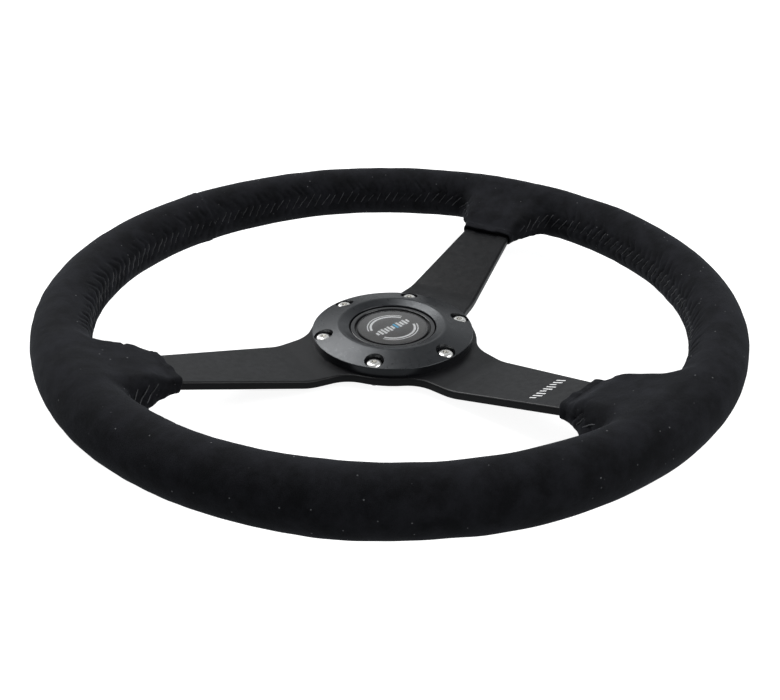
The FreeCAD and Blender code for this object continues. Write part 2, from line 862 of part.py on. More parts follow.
def annulus(body, name, inner, outer, level, thickness):
    sketch = new_sketch(body, name, plane="XY_Plane", level=level)
    draw_circle(sketch, "0", "0", inner)
    draw_circle(sketch, "0", "0", outer)
    pad(body, sketch, thickness)


def make_upper_contact():
    """The brass ring under the cap's skirt."""
    body = new_body("upper_contact")
    annulus(body, "upper_contact_plan", "upper_contact_inner", "cap_skirt_radius",
            "cap_skirt_bottom - contact_thickness", "contact_thickness")
    return body


def make_lower_contact():
    """The fixed contact on the housing's floor, with three raised tips under the upper one."""
    body = new_body("lower_contact")
    floor = "(housing_bottom + housing_floor)"
    annulus(body, "lower_contact_plan", "lower_contact_inner", "lower_contact_outer",
            floor, "contact_thickness")
    tip = new_sketch(body, "contact_tip", plane="XY_Plane", level=f"{floor} + contact_thickness")
    draw_circle(tip, "0", "contact_tip_circle", "contact_tip_radius")
    tip_level = "(cap_skirt_bottom - contact_thickness - cap_travel - contact_stop_gap)"
    rise = f"{tip_level} - {floor} - contact_thickness"
    polar_pattern(body, [pad(body, tip, rise)], "contact_tip_count")
    hole = new_sketch(body, "contact_rivet_hole", plane="XY_Plane")
    draw_circle(hole, "terminal_rivet_station", "0", "terminal_rivet_radius")
    pocket(body, hole, both_ways=True)
    gap = new_sketch(body, "ground_gap", plane="XY_Plane")
    half = "(terminal_width / 2 + contact_gap)"
    reach = "(0 - lower_contact_outer - overrun)"
    corners = [
        (reach, f"0 - {half}"),
        ("0 - contact_gap_inner", f"0 - {half}"),
        ("0 - contact_gap_inner", half),
        (reach, half),
    ]
    draw_polygon(gap, corners)
    pocket(body, gap, both_ways=True)
    return body


def terminal_blade(body, name, sign, level):
    """A flat blade under the housing or a strip on its floor, along X."""
    sketch = new_sketch(body, name, plane="XY_Plane", level=level)
    half = "(terminal_width / 2)"
    corners = [
        (f"{sign} * terminal_inner", f"0 - {half}"),
        (f"{sign} * terminal_outer", f"0 - {half}"),
        (f"{sign} * terminal_outer", half),
        (f"{sign} * terminal_inner", half),
    ]
    draw_polygon(sketch, corners)
    draw_circle(sketch, f"{sign} * terminal_rivet_station", "0", "terminal_rivet_radius")
    pad(body, sketch, "terminal_thickness")


def make_terminal(name, sign):
    body = new_body(name)
    terminal_blade(body, f"{name}_blade", sign, "housing_bottom - terminal_thickness")
    return body


def make_ground_pad():
    """The brass pad that the spring stands on, with its arm out to the ground rivet."""
    body = new_body("ground_pad")
    floor = "(housing_bottom + housing_floor)"
    disc = new_sketch(body, "ground_pad_plan", plane="XY_Plane", level=floor)
    draw_circle(disc, "0", "0", "ground_pad_radius")
    pad(body, disc, "contact_thickness")
    arm = new_sketch(body, "ground_arm", plane="XY_Plane", level=floor)
    half = "(terminal_width / 2)"
    reach = "(0 - terminal_rivet_station - terminal_rivet_head - contact_gap)"
    draw_polygon(arm, [(reach, f"0 - {half}"), ("0", f"0 - {half}"), ("0", half), (reach, half)])
    pad(body, arm, "contact_thickness")
    hole = new_sketch(body, "ground_rivet_hole", plane="XY_Plane")
    draw_circle(hole, "0 - terminal_rivet_station", "0", "terminal_rivet_radius")
    pocket(body, hole, both_ways=True)
    return body


def make_terminal_rivets():
    """Two rivets: each joins a blade under the floor to a contact on top of it."""
    body = new_body("terminal_rivets")
    section = new_sketch(body, "terminal_rivet_section")
    back = "(housing_bottom - terminal_thickness)"
    front = "(housing_bottom + housing_floor + contact_thickness)"
    middle = "terminal_rivet_station"
    corners = [
        (middle, f"{back} - terminal_rivet_head_height"),
        (f"{middle} + terminal_rivet_head", f"{back} - terminal_rivet_head_height"),
        (f"{middle} + terminal_rivet_head", back),
        (f"{middle} + terminal_rivet_radius", back),
        (f"{middle} + terminal_rivet_radius", front),
        (f"{middle} + terminal_rivet_head", front),
        (f"{middle} + terminal_rivet_head", f"{front} + terminal_rivet_head_height"),
        (middle, f"{front} + terminal_rivet_head_height"),
    ]
    draw_polygon(section, corners)
    turned = body.newObject("PartDesign::Revolution", "terminal_rivet_turned")
    turned.Profile = section
    turned.ReferenceAxis = (section, [f"Edge{len(corners)}"])
    turned.Angle = ALL_THE_WAY
    doc.recompute()
    pattern = body.newObject("PartDesign::PolarPattern", "terminal_rivet_pair")
    pattern.Originals = [turned]
    pattern.Axis = (origin_feature(body, "Z_Axis"), [""])
    pattern.Angle = ALL_THE_WAY
    pattern.Occurrences = 2
    body.Tip = pattern
    doc.recompute()
    return body


def make_return_spring():
    """A round-wire coil between the ground pad and the cap's ceiling."""
    floor = "(housing_bottom + housing_floor + contact_thickness)"
    first_turn = f"({floor} + spring_wire_radius + spring_end_gap)"
    last_turn = "(cap_ceiling - spring_wire_radius - spring_end_gap)"
    rise = f"({last_turn} - {first_turn})"
    helix = doc.addObject("Part::Helix", "spring_path")
    helix.setExpression("Radius", dims("spring_radius"))
    helix.setExpression("Height", dims(rise))
    helix.setExpression("Pitch", dims(f"{rise} / spring_turns"))
    helix.setExpression("Placement.Base.z", dims(first_turn))
    wire = doc.addObject("Part::Circle", "spring_wire")
    wire.setExpression("Radius", dims("spring_wire_radius"))
    wire.Placement = Placement(Vector(), Rotation(Vector(1, 0, 0), 90))
    wire.setExpression("Placement.Base.x", dims("spring_radius"))
    wire.setExpression("Placement.Base.z", dims(first_turn))
    doc.recompute()
    spring = doc.addObject("Part::Sweep", "return_spring")
    spring.Label = "return_spring"
    spring.Sections = [wire]
    spring.Spine = (helix, ["Edge1"])
    spring.Solid = True
    spring.Frenet = True
    doc.recompute()
    return spring


# ---------------------------------------------------------------- the whole wheel


def build():
    """Makes every piece and returns the ones that are written out."""
    frame = make_spoke_frame()
    rivets = make_hoop_rivets(make_rivet())
    hoop = make_rim_hoop(rivets)
    foam = make_foam_grip(together("inside_foam", [frame, hoop, rivets]))
    covers = [make_cover("cover_left", "90", frame), make_cover("cover_right", "270", frame)]
    whole_rim = torus_solid("whole_rim", "0")
    around_boots = together("around_boots", [frame, whole_rim])
    boots = [make_boot(side, around_boots) for side in SPOKES]
    seams = [make_seam(name) for name in SEAMS]
    return [
        frame, hoop, rivets, foam, *covers, *boots, *seams,
        make_trim_ring(), make_hub_bolts(),
        make_horn_housing(), make_o_ring(), make_bezel(), make_cap(),
        make_emblem_disc(), make_emblem_lens(),
        make_upper_contact(), make_lower_contact(), make_ground_pad(), make_return_spring(),
        make_terminal("signal_terminal", "1"), make_terminal("ground_terminal", "-1"),
        make_terminal_rivets(),
    ]


def check(nodes):
    """Stops the script on a failed object, or a piece whose shape is missing or not valid."""
    doc.recompute()
    for thing in doc.Objects:
        if {"Invalid", "Error"} & set(thing.State):
            raise RuntimeError(f"{thing.Name} failed: {thing.State}")
    for node in nodes:
        if node.Shape.isNull() or not node.Shape.isValid() or not node.Shape.Solids:
            raise RuntimeError(f"{node.Label} has no valid solid")


def write(nodes):
    os.makedirs("parts", exist_ok=True)
    for node in nodes:
        node.Shape.exportStep(f"parts/{node.Label}.step")
        solids = len(node.Shape.Solids)
        print(f"{node.Label}: {solids} solid(s), {node.Shape.Volume / 1000:.2f} cm3")


pieces = build()
check(pieces)
write(pieces)
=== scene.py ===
import math

import bmesh
import bpy
import numpy as np
from mathutils import Matrix, Vector
from mathutils.kdtree import KDTree


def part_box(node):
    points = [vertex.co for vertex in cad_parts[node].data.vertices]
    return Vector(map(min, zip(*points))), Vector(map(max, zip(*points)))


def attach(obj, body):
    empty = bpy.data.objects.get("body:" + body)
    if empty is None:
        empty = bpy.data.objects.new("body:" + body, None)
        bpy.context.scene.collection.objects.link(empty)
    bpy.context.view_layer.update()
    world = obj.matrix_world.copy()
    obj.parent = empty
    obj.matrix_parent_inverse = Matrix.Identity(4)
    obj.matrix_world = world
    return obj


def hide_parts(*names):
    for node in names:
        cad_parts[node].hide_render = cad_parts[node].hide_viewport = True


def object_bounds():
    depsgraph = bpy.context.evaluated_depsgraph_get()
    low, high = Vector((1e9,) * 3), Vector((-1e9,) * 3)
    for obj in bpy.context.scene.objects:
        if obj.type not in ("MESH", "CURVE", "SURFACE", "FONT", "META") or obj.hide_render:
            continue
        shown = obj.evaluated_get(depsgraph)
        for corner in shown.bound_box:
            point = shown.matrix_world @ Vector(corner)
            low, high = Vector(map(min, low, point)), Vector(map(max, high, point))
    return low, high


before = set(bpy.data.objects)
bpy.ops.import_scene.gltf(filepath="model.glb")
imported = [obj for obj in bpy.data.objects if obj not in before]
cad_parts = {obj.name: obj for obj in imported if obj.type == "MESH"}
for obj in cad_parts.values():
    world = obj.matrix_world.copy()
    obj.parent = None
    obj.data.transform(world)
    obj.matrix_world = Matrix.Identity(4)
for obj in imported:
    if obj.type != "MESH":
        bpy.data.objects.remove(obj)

# A three-spoke steering wheel with a sewn suede cover. Shapes are worked out in millimetres in the row
# frame, with the wheel's axis along Z, and become metres when a mesh is made. "Station" is the distance
# from the axis along a spoke. "Ring" is the distance from the axis. Angles are in degrees about the axis.

MM = 0.001
CAD_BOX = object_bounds()

# ---------------------------------------------------------------- sizes taken from the frame


def node_points(name):
    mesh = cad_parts[name].data
    points = np.zeros(len(mesh.vertices) * 3)
    mesh.vertices.foreach_get("co", points)
    return points.reshape(-1, 3) / MM


def ring_of(points):
    return np.hypot(points[:, 0], points[:, 1])


cover_points = node_points("cover_left")
COVER_OUTER = ring_of(cover_points).max()
COVER_INNER = ring_of(cover_points).min()
RIM_RADIUS = (COVER_OUTER + COVER_INNER) / 2
GRIP_HALF_WIDTH = (COVER_OUTER - COVER_INNER) / 2
RIM_LEVEL = (cover_points[:, 2].min() + cover_points[:, 2].max()) / 2
GRIP_HALF_HEIGHT = cover_points[:, 2].max() - RIM_LEVEL
DISC_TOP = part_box("emblem_disc")[1].z / MM
FLOOR_LEVEL = CAD_BOX[0][2] / MM

# the spoke frame's own dimensions
SPOKE_ANGLES = {"bottom": 270.0, "left": 165.2, "right": 374.8}
PLATE = 4.0
BEND_STATION = 57.5
RISE = math.tan(math.radians(14.5))
SPOKE_HALF_AT_60 = 20.0
SPOKE_HALF_AT_140 = 12.2
SPOKE_NARROWING = (SPOKE_HALF_AT_60 - SPOKE_HALF_AT_140) / (140 - 60)


def spoke_half_width(station):
    return SPOKE_HALF_AT_60 - (station - 60) * SPOKE_NARROWING


def spoke_top(station):
    return PLATE + (station - BEND_STATION) * RISE


# ---------------------------------------------------------------- small tools


def smooth_curve(x, knots):
    """A smooth curve through a few (position, value) knots, level past its ends."""
    xs, ys = (np.array(column, float) for column in zip(*knots))
    slopes = np.gradient(ys, xs)
    slopes[0] = slopes[-1] = 0
    x = np.clip(x, xs[0], xs[-1])
    i = np.clip(np.searchsorted(xs, x) - 1, 0, len(xs) - 2)
    width = xs[i + 1] - xs[i]
    u = (x - xs[i]) / width
    stay, leave = 1 - u, u
    start = ys[i] * (1 + 2 * u) * stay**2 + slopes[i] * width * u * stay**2
    return start + ys[i + 1] * (3 - 2 * u) * leave**2 - slopes[i + 1] * width * leave**2 * stay


def smoothstep(x, low, high):
    u = np.clip((x - low) / (high - low), 0, 1)
    return u * u * (3 - 2 * u)


def bump_at(x, width):
    """1 at zero, falling to nothing a few widths away."""
    return np.exp(-((x / width) ** 2))


def waves(points, seed, longest, shortest, count):
    """A smooth random field over space: the mean of a few waves of random direction and length."""
    rng = np.random.default_rng(seed)
    total = np.zeros(len(points))
    for _ in range(count):
        direction = rng.normal(size=3)
        direction /= np.linalg.norm(direction)
        length = math.exp(rng.uniform(math.log(shortest), math.log(longest)))
        phase = rng.uniform(0, math.tau)
        total += np.sin(points @ direction * math.tau / length + phase)
    return total / math.sqrt(count)


def turned(points, angle):
    """Points turned about the wheel's axis."""
    c, s = math.cos(math.radians(angle)), math.sin(math.radians(angle))
    x, y, z = points.T
    return np.stack([x * c - y * s, x * s + y * c, z], axis=1)


def unit(vectors):
    return vectors / np.maximum(np.linalg.norm(vectors, axis=-1, keepdims=True), 1e-9)


def new_piece(name, points, faces, material, body="wheel", smooth=True):
    """A mesh object from points in millimetres, riding on a body."""
    mesh = bpy.data.meshes.new(name)
    mesh.from_pydata([tuple(p) for p in np.asarray(points, float) * MM], [], faces)
    mesh.validate()
    mesh.polygons.foreach_set("use_smooth", [smooth] * len(mesh.polygons))
    piece = bpy.data.objects.new(name, mesh)
    bpy.context.scene.collection.objects.link(piece)
    mesh.materials.append(material)
    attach(piece, body)
    return piece


def grid_faces(rows, columns, close_rows=False, close_columns=True):
    """Quads over a grid of rows of points, each row one section."""
    faces = []
    for i in range(rows if close_rows else rows - 1):
        for j in range(columns if close_columns else columns - 1):
            a, b = i * columns + j, i * columns + (j + 1) % columns
            k = (i + 1) % rows
            faces.append((a, b, k * columns + (j + 1) % columns, k * columns + j))
    return faces


def tube(path, radius, sides, up, closed=False):
    """Points and faces of a round tube along a path. Up is a direction for each path point."""
    path = np.asarray(path, float)
    if closed:
        tangent = unit(np.roll(path, -1, 0) - np.roll(path, 1, 0))
    else:
        tangent = unit(np.gradient(path, axis=0))
    side = unit(np.cross(tangent, up))
    lift = np.cross(side, tangent)
    radius = np.broadcast_to(radius, len(path))
    turns = np.arange(sides) * math.tau / sides
    ring = side[:, None] * np.cos(turns)[None, :, None] + lift[:, None] * np.sin(turns)[None, :, None]
    points = (path[:, None] + ring * radius[:, None, None]).reshape(-1, 3)
    faces = grid_faces(len(path), sides, close_rows=closed)
    if not closed:
        faces.append(tuple(range(sides))[::-1])
        faces.append(tuple((len(path) - 1) * sides + k for k in range(sides)))
    return points, faces


def joined(parts):
    """Several (points, faces) as one."""
    points, faces, start = [], [], 0
    for some, their_faces in parts:
        points.append(some)
        faces += [tuple(i + start for i in face) for face in their_faces]
        start += len(some)
    return np.concatenate(points), faces


# ---------------------------------------------------------------- materials


class Paint:
    """A material's node tree with short calls for what these materials share."""

    def __init__(self, name, roughness, metallic=0.0, specular=0.5):
        self.material = bpy.data.materials.new(name)
        self.material.use_nodes = True
        self.tree = self.material.node_tree
        self.shader = self.tree.nodes["Principled BSDF"]
        self.shader.inputs["Roughness"].default_value = roughness
        self.shader.inputs["Metallic"].default_value = metallic
        self.shader.inputs["Specular IOR Level"].default_value = specular
        self.place = self.add("ShaderNodeTexCoord").outputs["Object"]
        self.normal = None

    def add(self, kind, **settings):
        node = self.tree.nodes.new(kind)
        for name, value in settings.items():
            setattr(node, name, value)
        return node

    def link(self, output, target):
        self.tree.links.new(output, target)

    def noise(self, size_mm, detail=3.0, roughness=0.55, place=None):
        node = self.add("ShaderNodeTexNoise")
        node.inputs["Scale"].default_value = 1 / (size_mm * MM)
        node.inputs["Detail"].default_value = detail
        node.inputs["Roughness"].default_value = roughness
        self.link(place or self.place, node.inputs["Vector"])
        return node.outputs["Fac"]

    def cells(self, size_mm, place=None):
        node = self.add("ShaderNodeTexVoronoi")
        node.inputs["Scale"].default_value = 1 / (size_mm * MM)
        self.link(place or self.place, node.inputs["Vector"])
        return node

    def ramp(self, value, stops):
        """A colour ramp over (position, colour) stops; a colour may be one grey."""
        node = self.add("ShaderNodeValToRGB")
        elements = node.color_ramp.elements
        while len(elements) < len(stops):
            elements.new(0.5)
        for element, (position, colour) in zip(elements, stops):
            element.position = position
            rgb = (colour,) * 3 if isinstance(colour, (int, float)) else colour
            element.color = (*rgb, 1)
        self.link(value, node.inputs["Fac"])
        return node.outputs["Color"]

    def maths(self, operation, a, b):
        node = self.add("ShaderNodeMath", operation=operation)
        for socket, value in zip(node.inputs, (a, b)):
            if isinstance(value, (int, float)):
                socket.default_value = value
            else:
                self.link(value, socket)
        return node.outputs["Value"]

    def mix(self, factor, a, b):
        node = self.add("ShaderNodeMix", data_type="RGBA")
        if isinstance(factor, (int, float)):
            node.inputs["Factor"].default_value = factor
        else:
            self.link(factor, node.inputs["Factor"])
        for name, value in (("A", a), ("B", b)):
            socket = next(s for s in node.inputs if s.name == name and s.type == "RGBA")
            if isinstance(value, tuple):
                socket.default_value = (*value, 1)
            else:
                self.link(value, socket)
        return next(s for s in node.outputs if s.type == "RGBA")

    def bump(self, height, distance_mm, strength=1.0):
        node = self.add("ShaderNodeBump")
        node.inputs["Distance"].default_value = distance_mm * MM
        node.inputs["Strength"].default_value = strength
        self.link(height, node.inputs["Height"])
        if self.normal:
            self.link(self.normal, node.inputs["Normal"])
        self.normal = node.outputs["Normal"]
        self.link(self.normal, self.shader.inputs["Normal"])

    def colour(self, value):
        self.link(value, self.shader.inputs["Base Color"])

    def roughness(self, value):
        self.link(value, self.shader.inputs["Roughness"])


def suede_material():
    paint = Paint("suede", roughness=0.95, specular=0.08)
    paint.shader.inputs["Sheen Weight"].default_value = 0.05
    paint.shader.inputs["Sheen Roughness"].default_value = 0.45
    paint.shader.inputs["Sheen Tint"].default_value = (0.75, 0.8, 0.9, 1)
    nap = paint.noise(11, detail=6, roughness=0.66)
    base = paint.ramp(nap, [(0.38, (0.0052, 0.0053, 0.0062)), (0.62, (0.0158, 0.0161, 0.0192))])
    fibre = paint.noise(0.45, detail=4, roughness=0.7)
    fibre_tone = paint.ramp(fibre, [(0.35, (0.0035, 0.0036, 0.0043)), (0.75, (0.0115, 0.0118, 0.0142))])
    cloth = paint.mix(0.3, base, fibre_tone)
    cells = paint.cells(4.5)
    speck = paint.ramp(cells.outputs["Distance"], [(0.0, 1.0), (0.06, 1.0), (0.09, 0.0)])
    rare = paint.ramp(cells.outputs["Color"], [(0.45, 0.0), (0.70, 1.0)])
    lint = paint.maths("MULTIPLY", speck, rare)
    paint.colour(paint.mix(lint, cloth, (0.12, 0.12, 0.125)))
    paint.roughness(paint.ramp(nap, [(0.3, 0.86), (0.7, 1.0)]))
    paint.bump(fibre, 0.12, 0.8)
    paint.bump(paint.noise(2.6, detail=2), 0.18, 0.6)
    return paint.material


def thread_material():
    paint = Paint("thread", roughness=0.5, specular=0.4)
    strands = paint.noise(0.25, detail=2)
    dark = paint.ramp(strands, [(0.3, (0.006, 0.006, 0.007)), (0.7, (0.018, 0.018, 0.021))])
    light = paint.ramp(strands, [(0.3, (0.03, 0.03, 0.034)), (0.7, (0.07, 0.07, 0.077))])
    paint.colour(paint.mix(paint.ramp(paint.noise(6), [(0.4, 0.0), (0.62, 1.0)]), dark, light))
    paint.bump(strands, 0.08)
    return paint.material


def frame_material():
    """Black anodised aluminium over a fine grain that runs along no one direction."""
    paint = Paint("anodised_frame", roughness=0.36, specular=0.24)
    grain = paint.noise(0.35, detail=3)
    cloud = paint.noise(14, detail=4)
    paint.colour(paint.ramp(cloud, [(0.3, (0.0028, 0.0029, 0.0035)), (0.7, (0.0048, 0.0049, 0.0060))]))
    paint.roughness(paint.ramp(paint.noise(3, detail=5), [(0.3, 0.30), (0.7, 0.42)]))
    paint.bump(grain, 0.035, 0.7)
    return paint.material


def ring_material():
    """Black anodised over a turned finish: fine grooves about the axis."""
    paint = Paint("anodised_ring", roughness=0.3, specular=0.56)
    paint.shader.inputs["Specular Tint"].default_value = (0.92, 0.96, 1.0, 1)
    grooves = paint.add("ShaderNodeTexWave", wave_type="RINGS", rings_direction="Z")
    grooves.inputs["Scale"].default_value = 1 / (2.2 * MM)
    grooves.inputs["Distortion"].default_value = 0.2
    paint.link(paint.place, grooves.inputs["Vector"])
    cloud = paint.noise(10, detail=4)
    paint.colour(paint.ramp(cloud, [(0.3, (0.0035, 0.0038, 0.0048)), (0.7, (0.0065, 0.0068, 0.0084))]))
    paint.roughness(paint.ramp(paint.noise(2, detail=5), [(0.3, 0.26), (0.7, 0.38)]))
    paint.bump(grooves.outputs["Fac"], 0.004, 0.5)
    paint.bump(paint.noise(0.4, detail=2), 0.012, 0.6)
    return paint.material


def metal_material(name, dark, light, roughness, grain_mm=0.4, bump_mm=0.02):
    paint = Paint(name, roughness=roughness, metallic=1.0)
    cloud = paint.noise(3, detail=4)
    paint.colour(paint.ramp(cloud, [(0.3, dark), (0.7, light)]))
    paint.roughness(paint.ramp(paint.noise(1.2, detail=4), [(0.3, roughness * 0.8), (0.7, roughness * 1.3)]))
    paint.bump(paint.noise(grain_mm, detail=2), bump_mm, 0.7)
    return paint.material


def plastic_material(name, dark, light, roughness, bump_mm):
    paint = Paint(name, roughness=roughness)
    paint.colour(paint.ramp(paint.noise(4, detail=4), [(0.3, dark), (0.7, light)]))
    paint.roughness(paint.ramp(paint.noise(1.5), [(0.3, roughness * 0.85), (0.7, roughness * 1.15)]))
    paint.bump(paint.noise(0.3, detail=2), bump_mm, 0.6)
    return paint.material


def lens_material():
    """Clear resin: it mirrors as much as its Fresnel share, and the rest is seen through it."""
    paint = Paint("emblem_lens", roughness=0.04, metallic=1.0)
    paint.colour(paint.ramp(paint.noise(5), [(0.3, (0.92, 0.94, 0.96)), (0.7, (0.97, 0.98, 1.0))]))
    share = paint.add("ShaderNodeFresnel")
    share.inputs["IOR"].default_value = 1.5
    paint.link(share.outputs["Fac"], paint.shader.inputs["Alpha"])
    return paint.material


def print_material(name, colour):
    paint = Paint(name, roughness=0.45)
    lighter = tuple(min(1.0, c * 1.08) for c in colour)
    darker = tuple(c * 0.9 for c in colour)
    paint.colour(paint.ramp(paint.noise(1.5, detail=4), [(0.3, darker), (0.7, lighter)]))
    return paint.material


SUEDE = suede_material()
THREAD = thread_material()

NODE_MATERIALS = {
    "spoke_frame": frame_material(),
    "trim_ring": ring_material(),
    "hub_bolts": metal_material("bolt_steel", (0.74, 0.73, 0.70), (0.95, 0.94, 0.92), 0.26),
    "rim_hoop": metal_material("hoop_aluminium", (0.5, 0.51, 0.52), (0.62, 0.62, 0.63), 0.35),
    "foam_grip": plastic_material("foam", (0.02, 0.02, 0.02), (0.035, 0.035, 0.035), 0.9, 0.15),
    "horn_housing": plastic_material(
        "housing_plastic", (0.009, 0.009, 0.01), (0.014, 0.014, 0.015), 0.45, 0.02
    ),
    "horn_bezel": plastic_material("bezel_gloss", (0.010, 0.010, 0.011), (0.016, 0.016, 0.017), 0.12, 0.002),
    "emblem_disc": plastic_material(
        "emblem_print", (0.102, 0.097, 0.093), (0.118, 0.113, 0.108), 0.34, 0.001
    ),
    "emblem_lens": lens_material(),
    "horn_o_ring": plastic_material("o_ring_rubber", (0.01, 0.01, 0.01), (0.018, 0.018, 0.018), 0.6, 0.03),
    "signal_terminal": metal_material("brass", (0.6, 0.42, 0.16), (0.78, 0.58, 0.26), 0.3),
    "return_spring": metal_material("spring_steel", (0.45, 0.45, 0.46), (0.6, 0.6, 0.61), 0.28),
}
SHARED = {
    "hoop_rivets": "rim_hoop",
    "horn_cap": "horn_housing",
    "ground_terminal": "signal_terminal",
    "terminal_rivets": "signal_terminal",
    "upper_contact": "signal_terminal",
    "lower_contact": "signal_terminal",
    "ground_pad": "signal_terminal",
}


def paint_node(name, material):
    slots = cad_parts[name].material_slots
    for slot in slots:
        slot.link = "OBJECT"
        slot.material = material


for node_name, node_material in NODE_MATERIALS.items():
    paint_node(node_name, node_material)
for node_name, like in SHARED.items():
    paint_node(node_name, NODE_MATERIALS[like])

# ---------------------------------------------------------------- the cover's shape

MOUTHS = {"bottom": 115.8, "left": 120.0, "right": 118.3}
# how much farther in a mouth lies per millimetre across its spoke, and per millimetre down
MOUTH_TURNS = {"bottom": 0.0, "left": -0.08, "right": 0.0}
MOUTH_RAKE = 0.4
HEM_LIFTS = {"bottom": 0.2, "left": 0.2, "right": 0.9}
PROFILE_STATION = 118.0
MOUTH_POCKET = 1.3
SLEEVE_LENGTH = 39.0
# half widths, upper and lower levels of a sleeve at distances in from its mouth
SLEEVE_WIDTHS = [(0, 16.0), (3, 16.1), (5, 16.7), (9, 18.4), (14, 21.0), (20, 24.0), (27, 27.0), (39, 32.0)]
SLEEVE_TOPS = [(0, 22.2), (3, 22.6), (5, 24.0), (9, 27.2), (17, 30.6), (25, 33.5), (33, 35.8), (39, 36.4)]
SLEEVE_BOTTOMS = [(0, 14.1), (3, 14.3), (9, 15.2), (17, 15.6), (25, 15.2), (33, 14.8), (39, 14.6)]
SLEEVE_SLANTS = [(0, 0.0), (9, 0.15), (17, 0.35), (33, 0.4)]
SLEEVE_ROUNDING = 0.62
BLEND = 7.0
COVER_VOXEL = 1.08
COVER_KEPT = 0.8
PROJECT_STEPS = 7


def rim_distance(points):
    """Signed distance to the rim's oval section, close to exact near its surface."""
    across = ring_of(points) - RIM_RADIUS
    up = points[:, 2] - RIM_LEVEL
    scaled = np.hypot(across / GRIP_HALF_WIDTH, up / GRIP_HALF_HEIGHT)
    slope = np.hypot(across / GRIP_HALF_WIDTH**2, up / GRIP_HALF_HEIGHT**2)
    return scaled * (scaled - 1) / np.maximum(slope, 1e-6)


def sleeve_section(depth, side):
    """Half width, middle level and half height of a sleeve at a distance in from its mouth."""
    mouth_level = spoke_top(MOUTHS[side]) - spoke_top(PROFILE_STATION)
    near_mouth = 1 - smoothstep(depth, 3.0, 12.0)
    top = smooth_curve(depth, SLEEVE_TOPS) + (mouth_level + HEM_LIFTS[side]) * near_mouth
    bottom = smooth_curve(depth, SLEEVE_BOTTOMS) + mouth_level * near_mouth
    return smooth_curve(depth, SLEEVE_WIDTHS), (top + bottom) / 2, (top - bottom) / 2


def sleeve_distance(points, side):
    """Signed distance to the suede sleeve round one spoke. Its flanks spread toward its lower face."""
    station, across, level = turned(points, -SPOKE_ANGLES[side]).T
    depth = station - MOUTHS[side]
    half_width, middle, half_height = sleeve_section(depth, side)
    corner = half_height * SLEEVE_ROUNDING
    spread = smooth_curve(depth, SLEEVE_SLANTS) * np.clip(middle - level, -half_height, half_height)
    beside = np.abs(across) - half_width - spread + corner
    rise = np.abs(level - middle) - half_height + corner
    outside = np.hypot(np.maximum(beside, 0), np.maximum(rise, 0))
    section = outside + np.minimum(np.maximum(beside, rise), 0) - corner
    plane = MOUTH_POCKET + MOUTH_TURNS[side] * across + MOUTH_RAKE * (middle - level)
    ends = np.maximum(plane - depth, depth - SLEEVE_LENGTH)
    return np.maximum(section, ends)


def merged(a, b, reach):
    """The smaller of two distances, with a fillet where they cross."""
    overlap = np.maximum(reach - np.abs(a - b), 0) / reach
    return np.minimum(a, b) - overlap**2 * reach / 4


def cover_distance(points):
    distance = rim_distance(points)
    for side in SPOKE_ANGLES:
        distance = merged(distance, sleeve_distance(points, side), BLEND)
    return distance


def gradient(points, step=0.02):
    here = cover_distance(points)
    slopes = []
    for axis in np.eye(3):
        slopes.append((cover_distance(points + axis * step) - here) / step)
    return here, np.stack(slopes, axis=1)


def on_surface(points):
    """Moves points along the distance's gradient onto the cover, and gives their outward normals."""
    for _ in range(PROJECT_STEPS):
        distance, slope = gradient(points)
        size = np.maximum((slope**2).sum(1), 0.04)
        move = np.clip(distance / size, -1.0, 1.0)
        points = points - slope * move[:, None]
    return points, unit(gradient(points)[1])


def rough_cover():
    """Closed shells near the cover's shape: the rim's ring, and a block for each sleeve."""
    turns = np.radians(np.arange(0, 360, 1.5))
    around = np.radians(np.arange(0, 360, 12))
    ring = RIM_RADIUS + GRIP_HALF_WIDTH * np.cos(around)
    level = RIM_LEVEL + GRIP_HALF_HEIGHT * np.sin(around)
    points = [np.stack([ring * math.cos(t), ring * math.sin(t), level], axis=1) for t in turns]
    parts = [(np.concatenate(points), grid_faces(len(turns), len(around), close_rows=True))]
    depths = np.arange(MOUTH_POCKET, SLEEVE_LENGTH, 3.0)
    for side, angle in SPOKE_ANGLES.items():
        rows = []
        for depth in depths:
            half_width, middle, half_height = sleeve_section(np.array([depth]), side)
            beside = np.clip(np.cos(around) * half_width * 1.25, -half_width, half_width)
            rise = np.clip(np.sin(around) * half_height * 1.25, -half_height, half_height)
            station = np.full_like(beside, MOUTHS[side] + depth)
            rows.append(np.stack([station, beside, middle + rise], axis=1))
        faces = grid_faces(len(depths), len(around))
        faces.append(tuple(range(len(around)))[::-1])
        last = (len(depths) - 1) * len(around)
        faces.append(tuple(last + k for k in range(len(around))))
        parts.append((turned(np.concatenate(rows), angle), faces))
    return joined(parts)


def remeshed(points, faces, voxel):
    """The outer skin of some closed shells, as even quads."""
    mesh = bpy.data.meshes.new("rough")
    mesh.from_pydata([tuple(p) for p in points * MM], [], faces)
    shell = bpy.data.objects.new("rough", mesh)
    bpy.context.scene.collection.objects.link(shell)
    skin = bmesh.new()
    skin.from_mesh(mesh)
    bmesh.ops.recalc_face_normals(skin, faces=skin.faces)
    skin.to_mesh(mesh)
    skin.free()
    modifier = shell.modifiers.new("skin", "REMESH")
    modifier.mode = "VOXEL"
    modifier.voxel_size = voxel * MM
    evaluated = shell.evaluated_get(bpy.context.evaluated_depsgraph_get())
    result = bpy.data.meshes.new_from_object(evaluated)
    found = np.zeros(len(result.vertices) * 3)
    result.vertices.foreach_get("co", found)
    quads = [tuple(p.vertices) for p in result.polygons]
    bpy.data.objects.remove(shell)
    bpy.data.meshes.remove(result)
    return found.reshape(-1, 3) / MM, quads


# ---------------------------------------------------------------- the seam's path

